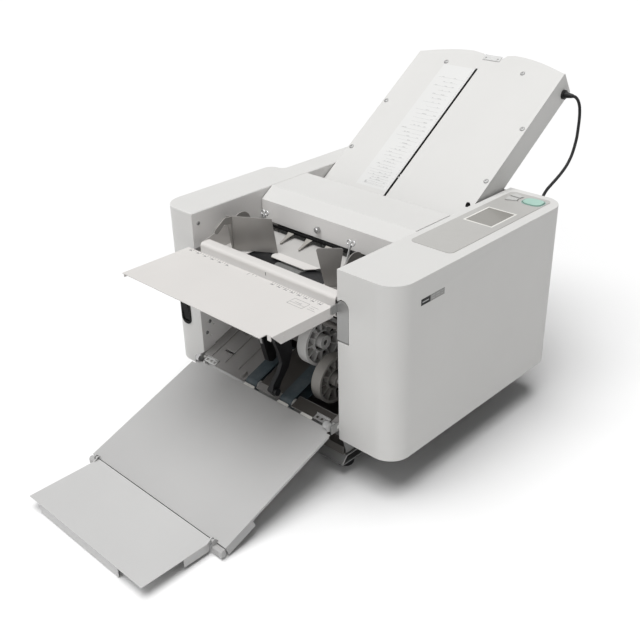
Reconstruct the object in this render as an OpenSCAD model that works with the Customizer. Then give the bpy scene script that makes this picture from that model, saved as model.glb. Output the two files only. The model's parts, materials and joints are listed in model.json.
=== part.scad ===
// Desktop paper folding machine for sheets up to A3.
// Frame: +X is the operator's right, -Y faces the operator, +Z is up.
// The feed table and the delivery tray are at the front, and the first fold plate rises at the back.
// The origin is the centre of the whole object's footprint, on the surface that it stands on.

/* [Body] */
// Width over both side covers
body_w = 530; // [520:1:540]
// Depth of the side covers
body_d = 454; // [450:1:460]
// Height of the covers' top above the floor
body_top = 379; // [379:1:381]
// Clearance under the side covers
cover_z = 77; // [74:1:80]
// Width of the left cover
left_w = 83; // [80:1:84]
// Width of the right cover, which carries the control panel
right_w = 112.5; // [110:0.5:114]
// Radius of the covers' outer upright corners
corner_r = 38; // [34:1:42]
// Wall thickness of the covers
wall = 3; // [2.5:0.5:3]
// Overall length, from the tray extension to the fold plate
reach = 1024; // [1020:1:1030]

/* [Feed] */
// Height of the feed table's top
table_z = 319.4; // [318:0.2:321]
// Length of the feed table in the feed direction
table_l = 137.5; // [130:0.5:140]
// Height of the deck behind the table's lip
deck_z = 300; // [299:0.5:300.5]
// Radius of the ribbed feed roller
feed_r = 14; // [13:0.5:14]

/* [Folding] */
// Slope of the first fold plate above the horizontal, in degrees
plate_tilt = 33.7; // [33:0.1:34.5]
// Depth of the first fold plate's pan
plate_h = 46; // [44:1:47]
// Radius of the four fold rollers
roll_r = 14.85; // [14.7:0.05:14.85]
// Radius of the fold rollers' steel shafts
shaft_r = 6; // [5.5:0.5:6]
// Slope of the second fold plate below the horizontal, in degrees
plate2_tilt = 36; // [34:1:37]

/* [Delivery] */
// Slope of the delivery tray below the horizontal, in degrees
tray_tilt = 20.15; // [19.9:0.05:20.3]
// Length of the delivery tray along its slope
tray_l = 251; // [248:1:252]
// Height of the tray extension's top
ext_z = 21.2; // [20.8:0.2:21.6]
// Radius of the large white delivery wheels
wheel_r = 43.5; // [42:0.5:43.5]
// Width of the flat delivery belts
belt_w = 26; // [22:1:26]

/* [Controls] */
// Length of the control panel's overlay
panel_l = 289; // [280:1:295]
// Width of the control panel's overlay
panel_w = 80; // [76:1:84]
// Travel of the push buttons
button_travel = 1.2; // [0.8:0.1:1.4]

/* [Hidden] */
$fn = 64;
fine = 32;
sheet = 1.5;
plate_t = 2.5;
cover_white = [0.87, 0.87, 0.85];
tray_grey = [0.72, 0.72, 0.71];
steel = [0.66, 0.67, 0.68];
dark_steel = [0.33, 0.33, 0.34];
guide_grey = [0.42, 0.41, 0.40];
black = [0.08, 0.08, 0.09];
belt_teal = [0.15, 0.20, 0.22];
white_plastic = [0.90, 0.90, 0.88];
mint = [0.62, 0.82, 0.76];

half_w = body_w / 2;
gap_l = -half_w + left_w;
gap_r = half_w - right_w;
front_y = -127;
rear_y = front_y + body_d;
cover_h = body_top - cover_z;
base_z = 40;
frame_top = body_top - wall;

// The left cover narrows behind an S-shaped step
step_y = 118;
step_r = 20;
step_in = 12;
rear_corner_r = 12;

// Feed end
table_rear = -134.5;
table_front = table_rear - table_l;
table_l_x = -187;
table_r_x = 150;
table_skirt = 18;
table_pin = [-134, table_z - 4.4];
lip_y = -127.5;
feed_c = [-48.5, deck_z - 2 - feed_r];
feed_x = -32;
feed_half = 29;
slot_l = -124;
slot_r = 59;
rail_y = [34, 44];
rail_z = [313, 319];
finger_axis = [27.5, 319];
finger_xs = [-99, -54, -7];
finger_tilt = 21;
top_front = 33;
top_rear = 150;
knob_at = [-39, 339];

// Fold rollers [y, z], each pair exactly one gear pitch apart
pitch = 30;
roller_a = [70, 300];
roller_b = [70, 270];
roller_c = [52, 246];
roller_d = [58, 216.6];
gear_teeth = 20;
gear_x = gap_r + 6;
gear_t = 8;

// First fold plate: v runs up the slope, w is its normal
plate_z = 378.8;
plate_top = 309;
plate_foot = -20;
plate_low = -168;
plate_rear = reach / 2;
plate_y = plate_rear - plate_top * cos(plate_tilt) - plate_h * sin(plate_tilt);
plate_l_x = gap_l + 2;
plate_r_x = gap_r - 4.5;
slot_x = -29;
slot_v = [-45, 286];
channel = 4.5;
screw_w = -25;
stop_v = 10;

// Second fold plate
plate2_at = [80, 236];
plate2_l = 212;

// Delivery: v runs up the slope to the rear, w is its normal
hinge_at = [-144, 105.6];
belt_xs = [-45, 40];
belt_t = 1.6;
front_pulley = [14, 8];
rear_pulley = [95, 16];
tray_pin = [-139, 101];
tray_l_x = -184;
tray_r_x = 158;
ext_pin = [-384, 23.5];
ext_l_x = -162;
ext_r_x = 133;
ext_front = -reach / 2;
wheel_at = [-52, 187.2];
arm_shaft = [-100, 262];
wheel_arm_shaft = [5, 200];

// Cable from the fold plate down to the machine's rear: hand-placed route
cable_d = 5.5;
cable_route = [[168, 487, 512], [173, 487, 511], [178, 488, 506], [181, 490, 497], [182, 492, 486],
    [183, 492, 473], [184, 490, 458], [186, 485, 441], [188, 476, 424], [190, 464, 409],
    [192, 447, 397], [194, 428, 389], [196, 408, 383], [198, 388, 378], [199, 371, 372],
    [200, 357, 362], [200, 347, 348], [200, 343, 332], [200, 342, 318], [200, 342, 310]];
plug_at = [200, rear_y, 290];

// Feet [x, y]
feet = [[130, -89], [-160, -89], [130, 270], [-160, 270]];
foot_r = 16;
foot_h = 24;

// Casing screws
wall_screws = [[-114, 358], [60, 352], [130, 352]];
inner_screws = [[-112, 195], [-108, 166], [-116, 146]];
plate_screws = [[-104, 290], [69, 292], [-172, 169], [140, 169], [-172, 45], [140, 45]];

// ---------- shared shapes ----------

function arc(c, r, a0, a1, n = 8) =
    [for (i = [0:n]) let (a = a0 + (a1 - a0) * i / n) c + r * [cos(a), sin(a)]];

// Extrudes a (y, z) outline along X
module along_x(x0, x1) {
    translate([x0, 0, 0]) rotate([90, 0, 90]) linear_extrude(x1 - x0) children();
}

module x_rod(x0, x1, at, r) {
    translate([x0, at[0], at[1]]) rotate([0, 90, 0]) cylinder(h = x1 - x0, r = r);
}

module x_tube(x0, x1, at, r, bore) {
    difference() {
        x_rod(x0, x1, at, r);
        x_rod(x0 - 1, x1 + 1, at, bore);
    }
}

// A box given by its low and high corners
module box(low, high) {
    translate(low) cube(high - low);
}

// A flat plate with round corners, standing on z = 0
module round_plate(size, r, t) {
    linear_extrude(t) round_outline(size, r);
}

module round_outline(size, r) {
    square([size[0] - 2 * r, size[1]], center = true);
    square([size[0], size[1] - 2 * r], center = true);
    for (x = [-1, 1], y = [-1, 1])
        translate([x * (size[0] / 2 - r), y * (size[1] / 2 - r)]) circle(r, $fn = fine);
}

// Places children in the first fold plate's own frame
module on_plate() {
    translate([0, plate_y, plate_z]) rotate([plate_tilt, 0, 0]) children();
}

// Places children in the delivery plane's own frame
module on_delivery() {
    translate([0, hinge_at[0], hinge_at[1]]) rotate([tray_tilt, 0, 0]) children();
}

// A point of the delivery frame as [y, z]
function delivery(v, w) = [
    hinge_at[0] + v * cos(tray_tilt) - w * sin(tray_tilt),
    hinge_at[1] + v * sin(tray_tilt) + w * cos(tray_tilt)
];

function belt_centre(pulley) = delivery(pulley[0], -belt_t - pulley[1]);

module screw_head(r = 3.5, h = 1.6) {
    difference() {
        union() {
            cylinder(h = h * 0.5, r = r, $fn = fine);
            translate([0, 0, h * 0.5]) cylinder(h = h * 0.5, r1 = r, r2 = r * 0.7, $fn = fine);
        }
        for (a = [0, 90])
            rotate(a) translate([-r * 0.5, -0.35, h * 0.4]) cube([r, 0.7, h]);
    }
}

// ---------- casing ----------

// Plan of the left cover, drawn in by i from its outside
function left_plan(i) = concat(
    [[gap_l + sign(i), front_y + i]],
    arc([-half_w + corner_r, front_y + corner_r], corner_r - i, 270, 180, 12),
    arc([-half_w + step_r, step_y], step_r - i, 180, 90),
    arc([-half_w + step_r, step_y + step_r + step_in], step_in + i, 270, 360),
    arc([-half_w + step_r + step_in + rear_corner_r, rear_y - rear_corner_r],
        rear_corner_r - i, 180, 90),
    [[gap_l + sign(i), rear_y - i]]
);

// Plan of the right cover, drawn in by i from its outside
function right_plan(i) = concat(
    [[gap_r - sign(i), front_y + i]],
    arc([half_w - corner_r, front_y + corner_r], corner_r - i, 270, 360, 12),
    arc([half_w - corner_r, rear_y - corner_r], corner_r - i, 0, 90, 12),
    [[gap_r - sign(i), rear_y - i]]
);

switch_at = [-223, 181];
inlet_at = [-202, 150];

module left_cover() {
    color(cover_white) difference() {
        translate([0, 0, cover_z]) linear_extrude(cover_h) polygon(left_plan(0));
        translate([0, 0, cover_z - 1]) linear_extrude(cover_h - wall + 1) polygon(left_plan(wall));
        translate([switch_at[0], front_y + wall + 1, switch_at[1]])
            rotate([90, 0, 0]) round_plate([22, 45], 9, wall + 2);
        translate([inlet_at[0], rear_y + 1, inlet_at[1]])
            rotate([90, 0, 0]) round_plate([28, 20], 2, wall + 2);
    }
}

panel_x = [166, 166 + panel_w];
panel_y = [23, 23 + panel_l];
display_at = [206, 185];
display_size = [54, 72];
start_at = [224, 287];
start_size = [34, 28];
key_r = [27.5, 47];
stop_span = [160, 176];
clear_span = [184, 204];
key_play = 1;
label_y = [-71, -15];
label_z = [334.5, 345];
label_t = 0.8;
pocket_x = gap_r + 22.5;
pocket_z = [258, 331];

// Outline between an oval and a rectangle
module oval(size) {
    power = 0.7;
    polygon([for (i = [0:47]) let (c = cos(i * 7.5), s = sin(i * 7.5))
        [size[0] / 2 * sign(c) * pow(abs(c), power), size[1] / 2 * sign(s) * pow(abs(s), power)]]);
}

// A curved key around the start button, drawn out by grow at its ends and by turn at its sides
module curved_key(span, grow = 0, turn = 0) {
    translate(start_at)
        polygon(concat(arc([0, 0], key_r[1] + grow, span[0] - turn, span[1] + turn),
            arc([0, 0], key_r[0] - grow, span[1] + turn, span[0] - turn)));
}

module key_holes() {
    translate(start_at) oval(start_size + 2 * [key_play, key_play]);
    for (span = [stop_span, clear_span])
        curved_key(span, key_play, 1.6);
}

module right_cover() {
    color(cover_white) difference() {
        translate([0, 0, cover_z]) linear_extrude(cover_h) polygon(right_plan(0));
        translate([0, 0, cover_z - 1]) linear_extrude(cover_h - wall + 1) polygon(right_plan(wall));
        // pocket for the feed table's hinge
        along_x(gap_r - 1, pocket_x)
            polygon([[front_y - 1, pocket_z[0]], [front_y + wall + 1, pocket_z[0]],
                [front_y + wall + 1, pocket_z[1] - 10], [front_y - 1, pocket_z[1] - 10]]);
        translate([gap_r + 10, front_y - 1, pocket_z[1] - 12.5])
            rotate([-90, 0, 0]) cylinder(h = wall + 2, r = 12.5);
        translate([0, 0, body_top - wall - 1]) linear_extrude(wall + 2) key_holes();
        translate([display_at[0], display_at[1], body_top - wall - 1])
            round_plate(display_size - [6, 6], 2, wall + 2);
        translate([plug_at[0], rear_y + 1, plug_at[2]])
            rotate([90, 0, 0]) cylinder(h = wall + 2, r = 6.6);
        box([half_w - label_t, label_y[0], label_z[0]], [half_w + 1, label_y[1], label_z[1]]);
    }
}

module top_cover() {
    chamfer = [[top_front, table_z + 3], [top_front, 361], [61, body_top], [top_rear, body_top],
        [top_rear, body_top - 9], [top_rear - wall, body_top - 9], [top_rear - wall, body_top - wall],
        [61 + 1.4, body_top - wall], [top_front + wall, 361 - 1.4], [top_front + wall, table_z + 3]];
    color(cover_white) difference() {
        along_x(gap_l + 1.5, gap_r - 1.5) polygon(chamfer);
        translate([knob_at[0], top_front - 1, knob_at[1]])
            rotate([-90, 0, 0]) cylinder(h = wall + 2, r = 2.5, $fn = fine);
    }
}

module rear_cover() {
    vents = [for (z = [110:12:200]) z];
    color(cover_white) difference() {
        box([gap_l + 1, rear_y - 5, base_z + 4], [gap_r - 1, rear_y - 2, frame_top - 2]);
        for (z = vents, x = [-110, 80])
            translate([x, rear_y, z]) rotate([90, 0, 0]) round_plate([90, 4], 1.9, 8);
    }
}

module base_pan() {
    color(dark_steel) {
        box([gap_l, -118, base_z], [gap_r, rear_y - 8, base_z + 2]);
        box([gap_l, -118, base_z], [gap_r, -116, base_z + 16]);
        box([gap_l, rear_y - 10, base_z], [gap_r, rear_y - 8, base_z + 16]);
    }
}

shaft_holes = [roller_a, roller_b, roller_c, roller_d, feed_c, belt_centre(rear_pulley)];
bush_r = 9;

module frame_plate(x0) {
    difference() {
        along_x(x0, x0 + plate_t)
            polygon([[-124, 90], [-124, frame_top], [rear_y - 7, frame_top],
                [rear_y - 7, base_z + 2], [-112, base_z + 2]]);
        x_rod(x0 - 1, x0 + plate_t + 1, finger_axis, 2.46, $fn = fine);
        for (at = shaft_holes)
            x_rod(x0 - 1, x0 + plate_t + 1, at, bush_r);
    }
}

module left_frame() {
    color(cover_white) difference() {
        frame_plate(gap_l - plate_t);
        for (at = inner_screws)
            x_rod(gap_l - 5, gap_l + 1, at + [8, -8], 1.6, $fn = fine);
    }
}

module right_frame() {
    color(steel) frame_plate(gap_r);
}

bars = [[150, 110], [290, 110], [262, 334], [120, 345]];

module cross_bars() {
    color(steel) {
        for (at = bars)
            x_rod(gap_l, gap_r, at, 6);
        x_rod(gap_l, gap_r, arm_shaft, 5);
        x_rod(gap_l, gap_r, wheel_arm_shaft, 5);
    }
}

module bearings() {
    color("goldenrod")
        for (at = shaft_holes) {
            x_tube(gap_l - plate_t - 1, gap_l + 2, at, bush_r, shaft_r + 0.05);
            x_tube(gap_r - 2, gap_r + plate_t + 1, at, bush_r, shaft_r + 0.05);
        }
}

module foot_brackets() {
    outline = [[18, base_z], [-26, base_z], [-36, foot_h + 2], [-36, foot_h], [-10, foot_h],
        [18, foot_h], [18, foot_h + 2], [-9, foot_h + 2], [-34, foot_h + 2], [-24.5, base_z - 2],
        [18, base_z - 2]];
    color(steel)
        for (f = feet)
            translate([0, f[1], 0]) along_x(f[0] - 28, f[0] + 28) polygon(outline);
}

module rubber_feet() {
    color(black)
        for (f = feet)
            translate([f[0], f[1], 0]) {
                cylinder(h = 6, r1 = foot_r - 1.5, r2 = foot_r);
                translate([0, 0, 6]) cylinder(h = foot_h - 12, r = foot_r);
                translate([0, 0, foot_h - 6]) cylinder(h = 6, r = foot_r - 5);
            }
}

module casing_screws() {
    color("silver") {
        for (at = concat(wall_screws, inner_screws))
            translate([gap_l, at[0], at[1]]) rotate([0, 90, 0]) screw_head();
        for (at = wall_screws)
            translate([gap_r, at[0], at[1]]) rotate([0, -90, 0]) screw_head();
        on_plate()
            for (at = plate_screws)
                translate([at[0], at[1], 0]) screw_head(4.5, 2);
        for (x = [-175, 145], z = [70, 350])
            translate([x, rear_y - 2, z]) rotate([-90, 0, 0]) screw_head();
    }
}

// ---------- controls ----------

module control_panel() {
    rim = 0.8;
    color([0.74, 0.75, 0.74]) difference() {
        translate([(panel_x[0] + panel_x[1]) / 2, (panel_y[0] + panel_y[1]) / 2, body_top])
            round_plate([panel_w, panel_l], 10, rim);
        translate([0, 0, body_top - 1]) linear_extrude(3) key_holes();
        translate([display_at[0], display_at[1], body_top - 1])
            round_plate(display_size, 2, 3);
    }
}

module display_glass() {
    color([0.55, 0.56, 0.54]) {
        translate([display_at[0], display_at[1], body_top]) round_plate(display_size - [0.4, 0.4], 2, 0.6);
        translate([display_at[0], display_at[1], body_top - wall])
            round_plate(display_size - [8, 8], 2, wall);
    }
}

// A cap with a flange under the cover that keeps it in. The children are the outlines of the cap,
// the flange and the stem.
module push_button() {
    translate([0, 0, body_top - wall]) linear_extrude(wall + 2.2) children(0);
    translate([0, 0, body_top - wall - button_travel - 1.8]) linear_extrude(1.5) children(1);
    translate([0, 0, body_top - wall - button_travel - 0.5]) linear_extrude(button_travel + 0.6) children(2);
}

module curved_button(span) {
    push_button() {
        curved_key(span);
        curved_key(span, key_play + 1.5);
        curved_key(span, -1, -1);
    }
}

module start_button() {
    color(mint) push_button() {
        translate(start_at) oval(start_size);
        translate(start_at) oval(start_size + [5, 5]);
        translate(start_at) oval(start_size - [2, 2]);
    }
}

module stop_button() {
    color(cover_white) curved_button(stop_span);
}

module clear_button() {
    color(cover_white) curved_button(clear_span);
}

module name_plate() {
    color(black) box([half_w - label_t, label_y[0], label_z[0]], [half_w, label_y[1], label_z[1]]);
}

rocker_pin = [front_y + 6, switch_at[1]];

module switch_bezel() {
    color(black) translate([switch_at[0], front_y, switch_at[1]]) rotate([90, 0, 0]) difference() {
        union() {
            round_plate([26, 51], 11.5, 1.8);
            translate([0, 0, -16]) round_plate([21.5, 44.5], 8.8, 17);
        }
        translate([0, 0, -14]) round_plate([17, 39], 2, 20);
    }
    color(black) x_rod(switch_at[0] - 8.6, switch_at[0] + 8.6, rocker_pin, 1.5, $fn = fine);
}

module power_rocker() {
    outline = [[front_y + 9, -15], [front_y + 9, 15], [front_y - 3, 17.6], [front_y - 1.4, 0],
        [front_y - 0.4, -17.6]];
    color(black) difference() {
        translate([0, 0, switch_at[1]])
            along_x(switch_at[0] - 7.8, switch_at[0] + 7.8) polygon(outline);
        x_rod(switch_at[0] - 9, switch_at[0] + 9, rocker_pin, 1.55, $fn = fine);
    }
}

module power_inlet() {
    color(black) translate([inlet_at[0], rear_y, inlet_at[1]]) rotate([-90, 0, 0]) difference() {
        union() {
            round_plate([34, 26], 3, 2);
            translate([0, 0, -22]) round_plate([27.5, 19.5], 2, 23);
        }
        translate([0, 0, -18]) round_plate([24, 16], 3, 24);
    }
    color("silver")
        for (dx = [-7, 0, 7])
            translate([inlet_at[0] + dx, rear_y - 20, inlet_at[1] + (dx == 0 ? 2.5 : -1.5)])
                box([-0.9, 0, -2], [0.9, 16, 2]);
}

module control_board() {
    color([0.10, 0.35, 0.20]) box([gap_l - 24, 60, 110], [gap_l - 22.4, 240, 300]);
    color("dimgray") {
        box([gap_l - 34, 80, 130], [gap_l - 24, 120, 170]);
        box([gap_l - 30, 140, 130], [gap_l - 24, 220, 150]);
        box([gap_l - 32, 150, 200], [gap_l - 24, 200, 250]);
        for (y = [100, 230], z = [120, 290])
            x_rod(gap_l - 22.4, gap_l - plate_t, [y, z], 3, $fn = fine);
    }
}

// ---------- feed ----------

module table_hinges() {
    pin_y = table_pin[0];
    pin_z = table_pin[1];
    left_ear = [[pin_y - 6, pin_z - 7], [pin_y + 20, pin_z - 7], [pin_y + 20, pin_z],
        [pin_y + 2, pin_z], [pin_y + 2, pin_z + 1.4], [pin_y - 6, pin_z + 1.4]];
    color(steel) {
        // right: a plate in the cover's pocket, bent to an ear that carries the pin
        box([gap_r - 2, front_y + 1, 260], [gap_r + 21, front_y + 2.8, pocket_z[1] - 13]);
        translate([gap_r + 10, front_y + 1, pocket_z[1] - 13])
            rotate([-90, 0, 0]) cylinder(h = 1.8, r = 11);
        box([gap_r - 2, pin_y - 6, pin_z - 7], [gap_r, -114, pin_z + 7]);
        x_rod(gap_r - 10, gap_r - 2, table_pin, 2.5);
        // left: an ear on the inside of the frame
        along_x(gap_l, gap_l + 2) polygon(left_ear);
        x_rod(gap_l + 2, gap_l + 8, table_pin, 2.5);
    }
}

module feed_table() {
    notch = [12, 14];
    lug = concat([[table_pin[0] - 7, table_z - 1]], arc(table_pin, 5.5, 200, 360, 10),
        [[table_pin[0] + 5.5, table_pin[1] + 1.5], [table_pin[0] + 3.5, table_z - 1.2]]);
    color([0.88, 0.87, 0.85]) difference() {
        union() {
            difference() {
                box([table_l_x, table_front, table_z - sheet], [table_r_x, table_rear, table_z]);
                box([table_r_x - notch[0], table_front - 1, table_z - 3],
                    [table_r_x + 1, table_front + notch[1], table_z + 1]);
            }
            // side skirts
            along_x(table_r_x - sheet, table_r_x)
                polygon([[table_front + notch[1], table_z - sheet],
                    [table_front + notch[1] + 16, table_z - table_skirt],
                    [table_rear, table_z - table_skirt], [table_rear + 4, table_z - 13],
                    [table_rear + 4, table_z - 4], [table_rear, table_z - sheet]]);
            translate([table_r_x - 0.2, table_front + notch[1] + 22, table_z - 7])
                rotate([0, 90, 0]) cylinder(h = 1.2, r = 1.8, $fn = fine);
            // latch tab inside the notched corner
            box([table_r_x - 11, table_front + notch[1], table_z - 9],
                [table_r_x - 4, table_front + notch[1] + sheet, table_z - sheet]);
            box([table_l_x, table_front + 2, table_z - 8],
                [table_l_x + sheet, table_rear - 4, table_z - sheet]);
            // lugs around the hinge pins
            for (x = [gap_l + 3, gap_r - 7])
                along_x(x, x + 2) polygon(lug);
        }
        x_rod(gap_r - 8, gap_r - 2.2, table_pin, 2.55);
        x_rod(gap_l + 2.5, gap_l + 6, table_pin, 2.55);
    }
}

module feed_lip() {
    top = 332;
    outline = concat([[lip_y, deck_z]], arc([lip_y + 6, top - 6], 6, 180, 90, 6),
        arc([lip_y + 19, top - 2.5], 2.5, 90, 0, 4), [[lip_y + 22.5, 328]],
        arc([lip_y + 25, 325.5], 2.5, 90, 0, 4), [[lip_y + 27.5, deck_z]]);
    color(white_plastic) along_x(-164, 148) difference() {
        polygon(outline);
        translate([lip_y + 2, deck_z - 1]) square([18, 27]);
    }
}

module feed_deck() {
    cheek = [[-112, deck_z], [-112, 321], [-57, 337], [-50, 337], [-38, deck_z]];
    color(cover_white) {
        box([gap_l, -112, deck_z - sheet], [gap_r, -63, deck_z]);
        box([gap_l + 3, lip_y + 1, deck_z - sheet], [gap_r - 3, -112, deck_z]);
        box([gap_l, -63, deck_z - sheet], [slot_l, -24, deck_z]);
        box([slot_r, -63, deck_z - sheet], [gap_r, -24, deck_z]);
        for (x = [gap_l, gap_r - 1.5])
            along_x(x, x + 1.5) polygon(cheek);
        for (x = [gap_l, gap_r - 2])
            box([x, -108, deck_z - 12], [x + 2, -66, deck_z]);
    }
}

module roller_guards() {
    gap = 2;
    color([0.12, 0.12, 0.12])
        for (x = [[slot_l, feed_x - feed_half - gap, slot_l - 4],
                [slot_r, feed_x + feed_half + gap, slot_r]]) {
            box([min(x[0], x[1]), -62.5, deck_z - 5], [max(x[0], x[1]), -25, deck_z - 3]);
            box([x[2], -60, deck_z - 5], [x[2] + 4, -28, deck_z - sheet]);
        }
}

module throat_plate() {
    flange_l = -85;
    ramp = [[-23, deck_z + 0.5], [28, deck_z + 8.5], [28, deck_z + 10], [-23, deck_z + 2]];
    color([0.80, 0.78, 0.76]) {
        along_x(gap_l, gap_r) polygon(ramp);
        translate([0, 0, deck_z + 0.5]) linear_extrude(sheet)
            polygon([[flange_l, -23], [flange_l, -36], [flange_l + 5, -43], [0, -43],
                [13, -30], [16, -23]]);
    }
}

module feed_roller() {
    ribs = 30;
    color([0.35, 0.35, 0.34]) difference() {
        x_rod(feed_x - feed_half, feed_x + feed_half, feed_c, feed_r);
        x_rod(feed_x - feed_half - 1, feed_x + feed_half + 1, feed_c, shaft_r);
        for (i = [0:ribs - 1])
            translate([feed_x - feed_half - 1, feed_c[0], feed_c[1]]) rotate([i * 360 / ribs, 0, 0])
                translate([0, feed_r - 1, -0.5]) cube([2 * feed_half + 2, 3, 1]);
    }
}

module feed_shaft() {
    color("silver") x_rod(gap_l - 6, gap_r + 16, feed_c, shaft_r);
    color("dimgray") x_tube(gap_r + 6, gap_r + 14, feed_c, 13, shaft_r);
}

module knurled(r, h, teeth = 24) {
    difference() {
        cylinder(h = h, r = r, $fn = 48);
        for (i = [0:teeth - 1])
            rotate(i * 360 / teeth) translate([r + 0.35, 0, -1]) cylinder(h = h + 2, r = 0.8, $fn = 16);
    }
}

module separator_knob() {
    color("silver") translate([knob_at[0], top_front, knob_at[1]]) rotate([90, 0, 0]) {
        translate([0, 0, 0.5]) knurled(5.5, 6);
        translate([0, 0, 6.5]) cylinder(h = 1.2, r1 = 4, r2 = 3.4, $fn = fine);
        translate([0, 0, -16]) cylinder(h = 17, r = 2.2, $fn = fine);
    }
}

// A sprung tongue that tapers from the rail to a rounded tip with a pad under it
module finger() {
    root = 3;
    l = 30;
    tip_r = 2.2;
    flare = 4.8;
    side = [for (i = [0:10]) let (t = i / 10) [tip_r + flare * pow(1 - t, 2), -root - (l - root) * t]];
    translate([0, 0, -0.6]) linear_extrude(1.2)
        polygon(concat([[-tip_r - flare, 2], [tip_r + flare, 2]], side, arc([0, -l], tip_r, 0, -180),
            [for (i = [10:-1:0]) [-side[i][0], side[i][1]]]));
    translate([0, -l, -2.1]) cylinder(h = 2, r = tip_r - 0.2, $fn = fine);
}

module paper_fingers() {
    color([0.50, 0.49, 0.47]) {
        for (x = finger_xs)
            translate([x, finger_axis[0], finger_axis[1]]) rotate([finger_tilt, 0, 0]) finger();
        x_rod(gap_l - 1.5, gap_r + 1.5, finger_axis, 2.4, $fn = fine);
    }
}

module guide_rail() {
    color(black) box([gap_l, rail_y[0], rail_z[0]], [gap_r, rail_y[1], rail_z[1]]);
}

guide_z = deck_z + 2.4;
left_wing_at = [-152.5, -67.1];
right_wing_at = [74.2, -70.6];
left_plate_x = -151;
right_plate_x = 112;
clamp_y = -25;
clamp_z = guide_z + 2.8;
clamp_lean = 20;
left_clamp_x = -131;
right_clamp_x = 71;

// A wing of folded sheet standing at a plan angle on the deck
module wing(at, angle, outline) {
    translate([at[0], at[1], guide_z]) rotate([0, 0, angle]) rotate([90, 0, 0])
        translate([0, 0, -sheet / 2]) linear_extrude(sheet) polygon(outline);
}

// The carrier that slides on the rail, and the plate that holds the wing
module guide_carrier(x, clamp_x) {
    gap = 0.35;
    side = concat([[-69, guide_z], [-69, 352]],
        arc([-44, 345], 21, 150, 35, 10), [[-20, 340], [-8, 314], [33, 315.4], [33, 311.8],
        [-8, 305.8], [-18, 304.4], [-24, guide_z]]);
    along_x(x, x + 2) {
        polygon(side);
        children();
    }
    difference() {
        box([x - 6, 32.3, 310.6], [x + 10, 45.7, 321.4]);
        box([x - 7, rail_y[0] - gap, rail_z[0] - gap], [x + 11, rail_y[1] + gap, rail_z[1] + gap]);
    }
    // foot with the clamp screw's tilted hole
    difference() {
        box([min(x, clamp_x - 6), -34, guide_z + 2.2], [max(x + 2, clamp_x + 6), -17, guide_z + 7]);
        translate([clamp_x, clamp_y, clamp_z]) rotate([-clamp_lean, 0, 0])
            translate([0, 0, -9]) cylinder(h = 30, r = 1.85, $fn = fine);
    }
}

module left_guide() {
    strap = concat([[-60, 350], [-58, 363], [-82, 366]], arc([-101, 347.5], 5, 125, 305, 8), [[-84, 354]]);
    color(guide_grey) {
        wing(left_wing_at, 30, [[0, 0], [82.6, 0], [74, 62], [-8.3, 62.5]]);
        guide_carrier(left_plate_x, left_clamp_x) polygon(strap);
    }
}

module right_guide() {
    color(guide_grey) {
        wing(right_wing_at, 41, concat([[0, 0], [18.5, 0]], arc([25, 64.5], 4, -5, 90, 6),
            arc([-9.2, 64.5], 4, 90, 190, 6)));
        guide_carrier(right_plate_x, right_clamp_x);
        box([76, -70, guide_z], [right_plate_x + 2, -56, guide_z + 1.5]);
    }
}

// A clamp screw with a two-loop wire head
module clamp_screw(x) {
    translate([x, clamp_y, clamp_z]) rotate([-clamp_lean, 0, 0]) {
        cylinder(h = 52, r = 1.8, $fn = fine);
        translate([0, 0, 48]) cylinder(h = 4, r = 3, $fn = fine);
        for (s = [-1, 1])
            translate([s * 4.6, 0, 56]) rotate([90, 0, 0])
                rotate_extrude($fn = fine) translate([3.6, 0]) circle(1.2, $fn = 16);
    }
}

module left_clamp_screw() {
    color("silver") clamp_screw(left_clamp_x);
}

module right_clamp_screw() {
    color("silver") clamp_screw(right_clamp_x);
}

// ---------- fold rollers and drive ----------

// Spur gear outline with straight-flanked teeth and a little backlash
module gear_outline(teeth, module_mm, phase) {
    step = 360 / teeth;
    root = module_mm * (teeth / 2 - 1.25);
    mid = module_mm * teeth / 2;
    tip = module_mm * (teeth / 2 + 0.9);
    polygon([for (i = [0:teeth - 1]) let (a = phase + i * step)
        each [root * [cos(a - 0.34 * step), sin(a - 0.34 * step)],
            mid * [cos(a - 0.22 * step), sin(a - 0.22 * step)],
            tip * [cos(a - 0.11 * step), sin(a - 0.11 * step)],
            tip * [cos(a + 0.11 * step), sin(a + 0.11 * step)],
            mid * [cos(a + 0.22 * step), sin(a + 0.22 * step)],
            root * [cos(a + 0.34 * step), sin(a + 0.34 * step)]]]);
}

// Direction from one shaft to the next, as an angle in the (y, z) plane
function bearing_of(from, to) = atan2(to[1] - from[1], to[0] - from[0]);

// Tooth phase of a gear that meshes with one of the given phase
function meshed(phase, from, to) =
    let (step = 360 / gear_teeth, a = bearing_of(from, to)) a + 180 + step / 2 + (a - phase);

phase_a = 0;
phase_b = meshed(phase_a, roller_a, roller_b);
phase_c = meshed(phase_b, roller_b, roller_c);
phase_d = meshed(phase_c, roller_c, roller_d);

module fold_roller(at, phase) {
    grooves = [for (x = [gap_l + 45:40:gap_r - 45]) x];
    difference() {
        x_rod(gap_l + 16, gap_r - 16, at, roll_r);
        for (x = grooves)
            x_tube(x, x + 3, at, roll_r + 1, roll_r - 1.5);
    }
    x_rod(gap_l - 8, gap_l + 16, at, shaft_r);
    x_rod(gap_r - 16, gear_x + gear_t + 6, at, shaft_r);
    along_x(gear_x, gear_x + gear_t) translate(at)
        gear_outline(gear_teeth, pitch / gear_teeth, phase);
}

module fold_roller_a() {
    color([0.25, 0.25, 0.26]) fold_roller(roller_a, phase_a);
}

module fold_roller_b() {
    color([0.70, 0.71, 0.72]) fold_roller(roller_b, phase_b);
}

module fold_roller_c() {
    color([0.25, 0.25, 0.26]) fold_roller(roller_c, phase_c);
}

module fold_roller_d() {
    color([0.70, 0.71, 0.72]) fold_roller(roller_d, phase_d);
}

motor_at = [190, 160];

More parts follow.
